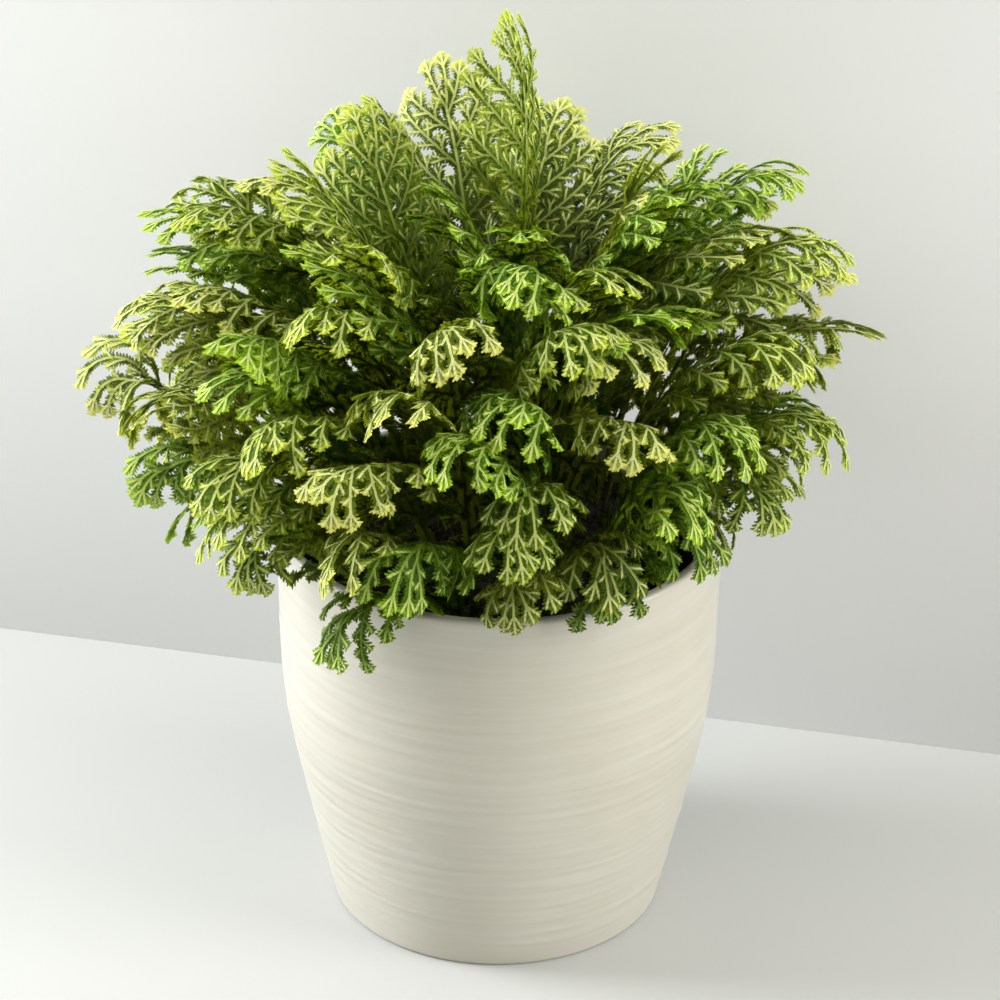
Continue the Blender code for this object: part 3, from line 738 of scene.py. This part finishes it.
def make_shoot_tree():
    group = bpy.data.node_groups.new("Leafy shoots", "GeometryNodeTree")
    add_inputs(group, (("Geometry", "NodeSocketGeometry"), ("Leaf set", "NodeSocketObject"),
                       ("Tuft", "NodeSocketObject"), ("Leaf spacing", "NodeSocketFloat"),
                       ("Stem radius", "NodeSocketFloat"), ("Stem step", "NodeSocketFloat"),
                       ("Play", "NodeSocketFloat"), ("Seed", "NodeSocketInt"),
                       ("Material", "NodeSocketMaterial")))
    tree = Tree(group)
    given = {socket.name: Flow(tree, socket) for socket in tree.node("NodeGroupInput").outputs}
    axes = tree.out("GeometryNodeMeshToCurve", inputs={0: given["Geometry"]})

    # A point at every leaf spacing, with its turn and its size
    dense = tree.out("GeometryNodeResampleCurve", {"mode": "LENGTH"},
                     {"Curve": axes, "Length": given["Leaf spacing"]})
    turn = tree.out("FunctionNodeAxesToRotation", {"primary_axis": "Y", "secondary_axis": "Z"},
                    {0: tree.out("GeometryNodeInputTangent"), 1: named(tree, "upper", "FLOAT_VECTOR")})
    low = tree.out("ShaderNodeCombineXYZ", inputs={n: 0 - given["Play"] for n in range(3)})
    high = tree.out("ShaderNodeCombineXYZ", inputs={n: given["Play"] for n in range(3)})
    jitter = tree.out("FunctionNodeRandomValue", {"data_type": "FLOAT_VECTOR"},
                      {0: low, 1: high, "Seed": given["Seed"]})
    turn = tree.out("FunctionNodeRotateRotation", {"rotation_space": "LOCAL"},
                    {0: turn, 1: tree.out("FunctionNodeEulerToRotation", inputs={0: jitter})})
    grown = tree.node("FunctionNodeRandomValue", {"data_type": "FLOAT"}, {2: 0.88, 3: 1.12, "Seed": given["Seed"]})
    size = named(tree, "size") * Flow(tree, grown.outputs[1])

    # Leaf sets along the shoots, and a tuft on the end of each tip
    leaf = tree.out("GeometryNodeObjectInfo", inputs={0: given["Leaf set"]}, output=4)
    bud = tree.out("GeometryNodeObjectInfo", inputs={0: given["Tuft"]}, output=4)
    leaves = tree.out("GeometryNodeInstanceOnPoints", inputs={
        "Points": dense, "Instance": leaf, "Rotation": turn, "Scale": size})
    is_end = tree.out("GeometryNodeCurveEndpointSelection", inputs={0: 0, 1: 1})
    at_tip = is_end * named(tree, "tip") > 0.5
    tufts = tree.out("GeometryNodeInstanceOnPoints", inputs={
        "Points": dense, "Selection": at_tip, "Instance": bud, "Rotation": turn, "Scale": size})

    # Stems, with a map in the stems' own band
    sparse = tree.out("GeometryNodeResampleCurve", {"mode": "LENGTH"},
                      {"Curve": axes, "Length": given["Stem step"]})
    sparse = tree.out("GeometryNodeSetCurveRadius", inputs={"Curve": sparse, "Radius": named(tree, "size")})
    along = tree.node("GeometryNodeCaptureAttribute", inputs={0: sparse})
    along.capture_items.new("FLOAT", "along")
    tree.tree.links.new(tree.out("GeometryNodeSplineParameter").socket, along.inputs[1])
    ring = tree.out("GeometryNodeCurvePrimitiveCircle", inputs={"Resolution": 3, "Radius": given["Stem radius"]})
    around = tree.node("GeometryNodeCaptureAttribute", inputs={0: ring})
    around.capture_items.new("FLOAT", "around")
    tree.tree.links.new(tree.out("GeometryNodeSplineParameter").socket, around.inputs[1])
    stems = tree.out("GeometryNodeCurveToMesh", inputs={
        0: Flow(tree, along.outputs[0]), 1: Flow(tree, around.outputs[0])})
    stem_map = tree.out("ShaderNodeCombineXYZ", inputs={
        0: Flow(tree, along.outputs[1]),
        1: STEM_BAND[0] + (STEM_BAND[1] - STEM_BAND[0]) * Flow(tree, around.outputs[1])})
    stems = tree.out("GeometryNodeStoreNamedAttribute", {"data_type": "FLOAT2", "domain": "CORNER"},
                     {0: stems, "Name": "leaf", 3: stem_map})

    # One mesh, whose map says age darkened by the painted shade across, and kind of leaf upwards
    joined = tree.out("GeometryNodeJoinGeometry", inputs={0: [leaves, tufts, stems]})
    solid = tree.out("GeometryNodeRealizeInstances", inputs={0: joined})
    leaf_map = tree.node("ShaderNodeSeparateXYZ", inputs={0: named(tree, "leaf", "FLOAT_VECTOR")})
    age_and_shade = 0.01 + named(tree, "young") * 0.95 + Flow(tree, leaf_map.outputs[0]) * 0.03
    whole_map = tree.out("ShaderNodeCombineXYZ", inputs={0: age_and_shade, 1: Flow(tree, leaf_map.outputs[1])})
    solid = tree.out("GeometryNodeStoreNamedAttribute", {"data_type": "FLOAT2", "domain": "CORNER"},
                     {0: solid, "Name": "OFBake", 3: whole_map})
    solid = tree.out("GeometryNodeSetMaterial", inputs={0: solid, "Material": given["Material"]})
    tree.node("NodeGroupOutput", inputs={0: solid})
    return group


shoot_tree = make_shoot_tree()
print("nodes in the tree:", len(shoot_tree.nodes))

# %% [markdown]
# A node tree on a modifier stays live. The finished piece has to be a plain mesh, so the helper below sets the
# tree's inputs, evaluates it once, keeps the result as a mesh and deletes the skeleton.

# %% Run a tree on an object and keep the result as a plain mesh
def bake_tree(name, source, group, values, drop=()):
    modifier = source.modifiers.new(group.name, "NODES")
    modifier.node_group = group
    for socket in group.interface.items_tree:
        if socket.item_type == "SOCKET" and socket.name in values:
            modifier[socket.identifier] = values[socket.name]
    bpy.context.view_layer.update()
    graph = bpy.context.evaluated_depsgraph_get()
    mesh = bpy.data.meshes.new_from_object(source.evaluated_get(graph), depsgraph=graph)
    mesh.name = name
    for extra in drop:
        if extra in mesh.attributes:
            mesh.attributes.remove(mesh.attributes[extra])
    bpy.data.objects.remove(source)
    piece = bpy.data.objects.new(name, mesh)
    bpy.context.scene.collection.objects.link(piece)
    return piece


# %% [markdown]
# The fronds are joined into nine pieces: low, middle and crown, each in three greens. A piece for each frond
# would do as well, but nine keep the scene short to list and quick to bake.

# %% Dress the fronds
TIERS = ("crown", "middle", "low")
LEAF_SPACING = 0.00112
STEM_RADIUS = 0.00034
STEM_STEP = 0.0042
LEAF_PLAY = 0.09

fern_triangles = 0
for tier, tier_name in enumerate(TIERS):
    for shade, material in enumerate(leaf_greens):
        chosen = [f for f in fronds if stem_number(f) * len(TIERS) // STEM_COUNT == tier
                  and stem_number(f) % 3 == shade]
        skeleton = Skeleton()
        for frond in chosen:
            grow_frond(skeleton, frond)
        name = f"{tier_name}_fronds_{shade + 1}"
        piece = bake_tree(name, skeleton.object(name), shoot_tree, {
            "Leaf set": leaf_set, "Tuft": tuft, "Leaf spacing": LEAF_SPACING, "Stem radius": STEM_RADIUS,
            "Stem step": STEM_STEP, "Play": LEAF_PLAY, "Seed": SEED + shade, "Material": material},
            drop=("leaf", "young", "size", "tip", "upper"))
        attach(piece, "root")
        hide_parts(*sorted({stem_name(f) for f in chosen}))
        triangles = sum(len(p.vertices) - 2 for p in piece.data.polygons)
        fern_triangles += triangles
        print(f"{name}: {len(chosen)} fronds, {triangles} triangles")
print("triangles in the fern:", fern_triangles)

# %% [markdown]
# ## The pot
# The pot is slip-cast and brushed while it turns, so its outside has fine rings that wander and fade. A turned
# profile gives the wall; the rings are real relief, made by pushing the skin out with a noise that is stretched
# far round the pot. Only the finest grain is left to the material.


# %% Turn the pot and brush it
LIP_ROUNDING = 0.0016
FOOT_ROUNDING = 0.0022
RING_STEP = 0.00090
POT_STEPS = 144
BRUSH_DEPTH = 0.00055
BRUSHED_FROM, BRUSHED_TO = 0.003, 0.136


def wall_radius(height):
    """A straight flare from the foot that a hyperbola rounds into an upright wall."""
    short = POT_RADIUS - FOOT_RADIUS - WALL_FLARE * height
    return POT_RADIUS - 0.5 * (short + math.hypot(short, WALL_KNEE))


def arc(centre, radius, first, last, steps):
    """Points on an arc between two angles in degrees, both included."""
    angles = [math.radians(first + (last - first) * n / steps) for n in range(steps + 1)]
    return [(centre[0] + radius * math.cos(a), centre[1] + radius * math.sin(a)) for a in angles]


def pot_profile():
    floor = 0.007
    inside = [(0.0, floor), (wall_radius(floor) - WALL_THICKNESS - 0.002, floor)]
    steps = 24
    for n in range(steps + 1):
        height = floor + 0.002 + (POT_HEIGHT - LIP_ROUNDING - floor - 0.002) * n / steps
        inside.append((wall_radius(height) - WALL_THICKNESS, height))
    top = POT_HEIGHT - LIP_ROUNDING
    inner_lip = arc((wall_radius(top) - WALL_THICKNESS + LIP_ROUNDING, top), LIP_ROUNDING, 180, 90, 5)
    outer_lip = arc((wall_radius(top) - LIP_ROUNDING, top), LIP_ROUNDING, 90, 0, 5)
    count = round((top - FOOT_ROUNDING) / RING_STEP)
    outside = []
    for n in range(1, count):
        height = top - (top - FOOT_ROUNDING) * n / count
        outside.append((wall_radius(height), height))
    foot = arc((wall_radius(FOOT_ROUNDING) - FOOT_ROUNDING, FOOT_ROUNDING), FOOT_ROUNDING, 0, -90, 5)
    return inside + inner_lip[1:] + outer_lip + outside + foot + [(0.0, 0.0)]


def make_brushed_tree():
    group = bpy.data.node_groups.new("Brushed rings", "GeometryNodeTree")
    add_inputs(group, (("Geometry", "NodeSocketGeometry"), ("Depth", "NodeSocketFloat"),
                       ("From height", "NodeSocketFloat"), ("To height", "NodeSocketFloat"),
                       ("Around scale", "NodeSocketFloat"), ("Up scale", "NodeSocketFloat"),
                       ("Material", "NodeSocketMaterial")))
    tree = Tree(group)
    given = {socket.name: Flow(tree, socket) for socket in tree.node("NodeGroupInput").outputs}
    place = tree.node("ShaderNodeSeparateXYZ", inputs={0: tree.out("GeometryNodeInputPosition")})
    x, y, z = (Flow(tree, place.outputs[n]) for n in range(3))
    around, up = given["Around scale"], given["Up scale"]
    stretched = tree.out("ShaderNodeCombineXYZ", inputs={0: x * around, 1: y * around, 2: z * up})
    rings = tree.out("ShaderNodeTexNoise", inputs={"Vector": stretched, "Scale": 1.0, "Detail": 2.0,
                                                   "Roughness": 0.55})
    fade = tree.out("ShaderNodeMapRange", inputs={"Value": z, 1: given["To height"] + 0.008,
                                                  2: given["To height"]})
    fade = fade * tree.out("ShaderNodeMapRange", inputs={"Value": z, 1: given["From height"],
                                                         2: given["From height"] + 0.006})
    flat = tree.out("ShaderNodeCombineXYZ", inputs={0: x, 1: y, 2: 0.0})
    out = tree.out("ShaderNodeVectorMath", {"operation": "NORMALIZE"}, {0: flat})
    push = (rings - 0.5) * given["Depth"] * fade
    offset = tree.out("ShaderNodeVectorMath", {"operation": "SCALE"}, {0: out, "Scale": push})
    facing = tree.out("ShaderNodeVectorMath", {"operation": "DOT_PRODUCT"},
                      {0: tree.out("GeometryNodeInputNormal"), 1: out}, output=1)
    moved = tree.out("GeometryNodeSetPosition", inputs={
        "Geometry": given["Geometry"], "Selection": facing > 0.3, "Offset": offset})
    smooth = tree.out("GeometryNodeSetShadeSmooth", inputs={0: moved})
    done = tree.out("GeometryNodeSetMaterial", inputs={0: smooth, "Material": given["Material"]})
    tree.node("NodeGroupOutput", inputs={0: done})
    return group


def turned_object(name, profile, steps):
    """A closed turned mesh; the profile starts and ends on the axis."""
    points, faces = [(0.0, 0.0, profile[0][1]), (0.0, 0.0, profile[-1][1])], []
    rows = profile[1:-1]
    for step in range(steps):
        angle = 2 * math.pi * step / steps
        points += [(r * math.cos(angle), r * math.sin(angle), z) for r, z in rows]
    for step in range(steps):
        here, there = 2 + step * len(rows), 2 + (step + 1) % steps * len(rows)
        faces.append((0, here, there))
        faces.append((1, there + len(rows) - 1, here + len(rows) - 1))
        faces += [(here + n, here + n + 1, there + n + 1, there + n) for n in range(len(rows) - 1)]
    mesh = bpy.data.meshes.new(name)
    mesh.from_pydata(points, [], faces)
    thing = bpy.data.objects.new(name, mesh)
    bpy.context.scene.collection.objects.link(thing)
    return thing


# %% Glaze
def make_glaze():
    material = bpy.data.materials.new("white_glaze")
    material.use_nodes = True
    material.node_tree.nodes.clear()
    tree = Tree(material.node_tree)
    place = tree.out("ShaderNodeTexCoord", output=3)
    wide = tree.out("ShaderNodeMapping", inputs={0: place, "Scale": (14, 14, 420)})
    streaks = tree.out("ShaderNodeTexNoise", inputs={"Vector": wide, "Scale": 1.0, "Detail": 3.0})
    clouds = tree.out("ShaderNodeTexNoise", inputs={"Vector": place, "Scale": 22.0, "Detail": 2.0})
    tone = streaks.between(0.30, 0.70) * 0.55 + clouds.between(0.3, 0.7) * 0.45
    colour = tree.mix(tone, (0.56, 0.535, 0.445, 1), (0.635, 0.615, 0.54, 1))
    bump = tree.out("ShaderNodeBump", inputs={"Height": streaks, "Strength": 0.25, "Distance": 0.0004})
    shader = tree.out("ShaderNodeBsdfPrincipled", inputs={
        "Base Color": colour, "Roughness": 0.30 + 0.12 * tone, "Normal": bump,
        "Coat Weight": 0.25, "Coat Roughness": 0.25, "Specular IOR Level": 0.45})
    tree.node("ShaderNodeOutputMaterial", inputs={0: shader})
    return material


glaze = make_glaze()
pot = bake_tree("pot_body", turned_object("pot_blank", pot_profile(), POT_STEPS), make_brushed_tree(), {
    "Depth": 2 * BRUSH_DEPTH, "From height": BRUSHED_FROM, "To height": BRUSHED_TO, "Around scale": 16.0,
    "Up scale": 330.0, "Material": glaze})
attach(pot, "root")
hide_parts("pot")
print("triangles in the pot:", sum(len(p.vertices) - 2 for p in pot.data.polygons))

# %% [markdown]
# ## The soil
# Dark potting soil shows only in the gaps behind the rim. It is a low mound with crumbs scattered over it.
# A bump map would do from above, but the rim is seen at a low angle, where only real crumbs catch the light.


# %% Soil material and crumbs
CRUMB_COUNT = 1500
CRUMB_RADIUS = 0.0013
SOIL_RINGS = 12


def make_soil_material():
    material = bpy.data.materials.new("potting_soil")
    material.use_nodes = True
    material.node_tree.nodes.clear()
    tree = Tree(material.node_tree)
    place = tree.out("ShaderNodeTexCoord", output=3)
    grain = tree.out("ShaderNodeTexNoise", inputs={"Vector": place, "Scale": 420.0, "Detail": 4.0})
    colour = tree.mix(grain.between(0.35, 0.70), (0.005, 0.004, 0.002, 1), (0.028, 0.021, 0.012, 1))
    bump = tree.out("ShaderNodeBump", inputs={"Height": grain, "Strength": 0.7, "Distance": 0.001})
    shader = tree.out("ShaderNodeBsdfPrincipled", inputs={"Base Color": colour, "Roughness": 0.95, "Normal": bump})
    tree.node("ShaderNodeOutputMaterial", inputs={0: shader})
    return material


def soil_profile():
    edge = wall_radius(SOIL_EDGE_HEIGHT) - WALL_THICKNESS - 0.0004
    top = [(edge * n / SOIL_RINGS, soil_height(edge * n / SOIL_RINGS)) for n in range(SOIL_RINGS + 1)]
    return top + [(wall_radius(0.010) - WALL_THICKNESS - 0.0004, 0.0095), (0.0, 0.0095)]


def make_crumb_tree():
    group = bpy.data.node_groups.new("Soil crumbs", "GeometryNodeTree")
    add_inputs(group, (("Geometry", "NodeSocketGeometry"), ("Crumbs per area", "NodeSocketFloat"),
                       ("Crumb radius", "NodeSocketFloat"), ("Seed", "NodeSocketInt"),
                       ("Material", "NodeSocketMaterial")))
    tree = Tree(group)
    given = {socket.name: Flow(tree, socket) for socket in tree.node("NodeGroupInput").outputs}
    normal = tree.node("ShaderNodeSeparateXYZ", inputs={0: tree.out("GeometryNodeInputNormal")})
    upwards = Flow(tree, normal.outputs[2]) > 0.5
    points = tree.out("GeometryNodeDistributePointsOnFaces", inputs={
        "Mesh": given["Geometry"], "Selection": upwards, "Density": given["Crumbs per area"],
        "Seed": given["Seed"]})
    crumb = tree.out("GeometryNodeMeshIcoSphere", inputs={"Radius": given["Crumb radius"], "Subdivisions": 1})
    size = tree.out("FunctionNodeRandomValue", {"data_type": "FLOAT_VECTOR"},
                    {0: (0.4, 0.4, 0.3), 1: (1.5, 1.3, 1.0), "Seed": given["Seed"]})
    turn = tree.out("FunctionNodeRandomValue", {"data_type": "FLOAT_VECTOR"},
                    {0: (0, 0, 0), 1: (6.28, 6.28, 6.28), "Seed": given["Seed"]})
    turn = tree.out("FunctionNodeEulerToRotation", inputs={0: turn})
    crumbs = tree.out("GeometryNodeInstanceOnPoints", inputs={
        "Points": points, "Instance": crumb, "Rotation": turn, "Scale": size})
    joined = tree.out("GeometryNodeJoinGeometry", inputs={0: [given["Geometry"], crumbs]})
    solid = tree.out("GeometryNodeRealizeInstances", inputs={0: joined})
    solid = tree.out("GeometryNodeSetShadeSmooth", inputs={0: solid})
    solid = tree.out("GeometryNodeSetMaterial", inputs={0: solid, "Material": given["Material"]})
    tree.node("NodeGroupOutput", inputs={0: solid})
    return group


soil_area = math.pi * (POT_RADIUS - WALL_THICKNESS) ** 2
soil = bake_tree("soil_bed", turned_object("soil_blank", soil_profile(), 96), make_crumb_tree(), {
    "Crumbs per area": CRUMB_COUNT / soil_area, "Crumb radius": CRUMB_RADIUS, "Seed": SEED,
    "Material": make_soil_material()})
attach(soil, "root")
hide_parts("soil")
print("triangles in the soil:", sum(len(p.vertices) - 2 for p in soil.data.polygons))

for helper in (leaf_set, tuft):
    bpy.data.objects.remove(helper)

# %% [markdown]
# ## Camera, table and light
# The camera looks down a little, from well back with a long lens, which keeps the rim's oval slim. The pot stands
# on a pale table; behind it a plain wall starts along a slanting line. Soft daylight comes from a large window on
# the left, a little behind the plant, with a weaker one on the right.

# %% Camera
CAMERA_DISTANCE = 1.40
CAMERA_ELEVATION = math.radians(27.6)
CAMERA_ROLL = math.radians(0.5)
CAMERA_TARGET = Vector((0.0002, 0.0, 0.1556))
LENS, SENSOR = 144.0, 36.0
IMAGE_SIZE = 1000

look = Vector((0, math.cos(CAMERA_ELEVATION), -math.sin(CAMERA_ELEVATION)))
camera_data = bpy.data.cameras.new("camera")
camera_data.lens = LENS
camera_data.sensor_width = SENSOR
camera_data.clip_start, camera_data.clip_end = 0.05, 20.0
camera = bpy.data.objects.new("camera", camera_data)
bpy.context.scene.collection.objects.link(camera)
camera.location = CAMERA_TARGET - CAMERA_DISTANCE * look
camera.rotation_mode = "QUATERNION"
camera.rotation_quaternion = look.to_track_quat("-Z", "Y") @ Quaternion((0, 0, 1), CAMERA_ROLL)
bpy.context.scene.camera = camera

# %% Table and wall
TABLE_EDGE_LEFT = (0, 628)
TABLE_EDGE_RIGHT = (1000, 755)
TABLE_SIZE = 6.0
WALL_HEIGHT = 3.0
FOOT_SHADE_HEIGHT = 0.16


def on_table(pixel):
    """The table point that shows at a pixel of the square image."""
    across = (pixel[0] / IMAGE_SIZE - 0.5) * SENSOR / LENS
    up = (0.5 - pixel[1] / IMAGE_SIZE) * SENSOR / LENS
    ray = camera.rotation_quaternion @ Vector((across, up, -1.0))
    return camera.location - ray * (camera.location.z / ray.z)


def make_plain(name, colour, roughness, glow, foot_shade):
    """A plain finish; foot_shade is the share of the colour that is left where it meets the table, as painted
    shade along that corner.
    """
    material = bpy.data.materials.new(name)
    material.use_nodes = True
    material.node_tree.nodes.clear()
    tree = Tree(material.node_tree)
    place = tree.out("ShaderNodeTexCoord", output=3)
    soft = tree.out("ShaderNodeTexNoise", inputs={"Vector": place, "Scale": 3.0, "Detail": 2.0})
    shade = tree.mix(soft, tuple(0.98 * c for c in colour) + (1,), tuple(colour) + (1,))
    height = tree.node("ShaderNodeSeparateXYZ", inputs={0: place}).outputs[2]
    # Painted shade: the colour darkens towards the foot, up to FOOT_SHADE_HEIGHT above the table.
    foot = tuple(foot_shade * c for c in colour) + (1,)
    shade = tree.mix(Flow(tree, height).between(0.0, FOOT_SHADE_HEIGHT), foot, shade)
    shader = tree.out("ShaderNodeBsdfPrincipled", inputs={
        "Base Color": shade, "Roughness": roughness, "Specular IOR Level": 0.2,
        "Emission Color": (0.90, 0.92, 0.91, 1), "Emission Strength": glow})
    return material, tree, shader


def stage_quad(name, corners, material):
    mesh = bpy.data.meshes.new(name)
    mesh.from_pydata(corners, [], [(0, 1, 2, 3)])
    mesh.materials.append(material)
    thing = bpy.data.objects.new(name, mesh)
    bpy.context.scene.collection.objects.link(thing)
    thing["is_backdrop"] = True
    return thing


half = TABLE_SIZE / 2
table_finish, tree, shader = make_plain("table_white", (0.43, 0.44, 0.43), 0.5, 0.10, 1.0)
tree.node("ShaderNodeOutputMaterial", inputs={0: shader})
stage_quad("table", [(-half, -half, 0), (half, -half, 0), (half, half, 0), (-half, half, 0)], table_finish)

left, right = on_table(TABLE_EDGE_LEFT), on_table(TABLE_EDGE_RIGHT)
line = (right - left).normalized()
left, right = left - line * half, right + line * half
up = Vector((0, 0, WALL_HEIGHT))
# The wall's foot keeps 0.74 of its colour: painted shade where it meets the table.
wall_finish, tree, shader = make_plain("wall_white", (0.68, 0.69, 0.685), 0.8, 0.13, 0.74)
clear = tree.out("ShaderNodeBsdfTransparent")
behind = tree.out("ShaderNodeNewGeometry", output=6)
both = tree.out("ShaderNodeMixShader", inputs={0: behind, 1: shader, 2: clear})
tree.node("ShaderNodeOutputMaterial", inputs={0: both})
stage_quad("wall", [left, right, right + up, left + up], wall_finish)
print("wall starts", [round(c, 3) for c in on_table(TABLE_EDGE_LEFT)], [round(c, 3) for c in on_table(TABLE_EDGE_RIGHT)])


# %% Light
def add_window(name, place, size, power, colour):
    data = bpy.data.lights.new(name, "AREA")
    data.shape = "RECTANGLE"
    data.size, data.size_y = size
    data.energy = power
    data.color = colour
    thing = bpy.data.objects.new(name, data)
    bpy.context.scene.collection.objects.link(thing)
    thing.location = place
    aim = CAMERA_TARGET - Vector(place)
    thing.rotation_mode = "QUATERNION"
    thing.rotation_quaternion = aim.to_track_quat("-Z", "Y")
    return thing


add_window("window_left", (-1.25, 0.35, 0.85), (1.1, 1.1), 65.0, (0.98, 0.985, 1.0))
add_window("window_right", (1.25, -0.50, 0.75), (0.7, 0.7), 17.0, (1.0, 0.98, 0.94))
add_window("room", (0.0, -0.6, 1.8), (1.6, 1.6), 16.0, (1.0, 0.95, 0.82))
world = bpy.data.worlds.new("soft_room")
bpy.context.scene.world = world
world.use_nodes = True
world.node_tree.nodes["Background"].inputs[0].default_value = (0.95, 0.94, 0.90, 1)
world.node_tree.nodes["Background"].inputs[1].default_value = 0.22
bpy.context.scene.view_settings.view_transform = "Standard"

# %% [markdown]
# ## Compare the size
# The fine model is meant to fill the same space as the solid one, so the sides of its box are printed as shares
# of the solid one's.

# %% Print the box's sides as shares of the model's
new_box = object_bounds()
sides = [(new_box[1][n] - new_box[0][n]) / (cad_box[1][n] - cad_box[0][n]) for n in range(3)]
print("sides beside the model's:", [round(side, 3) for side in sides])
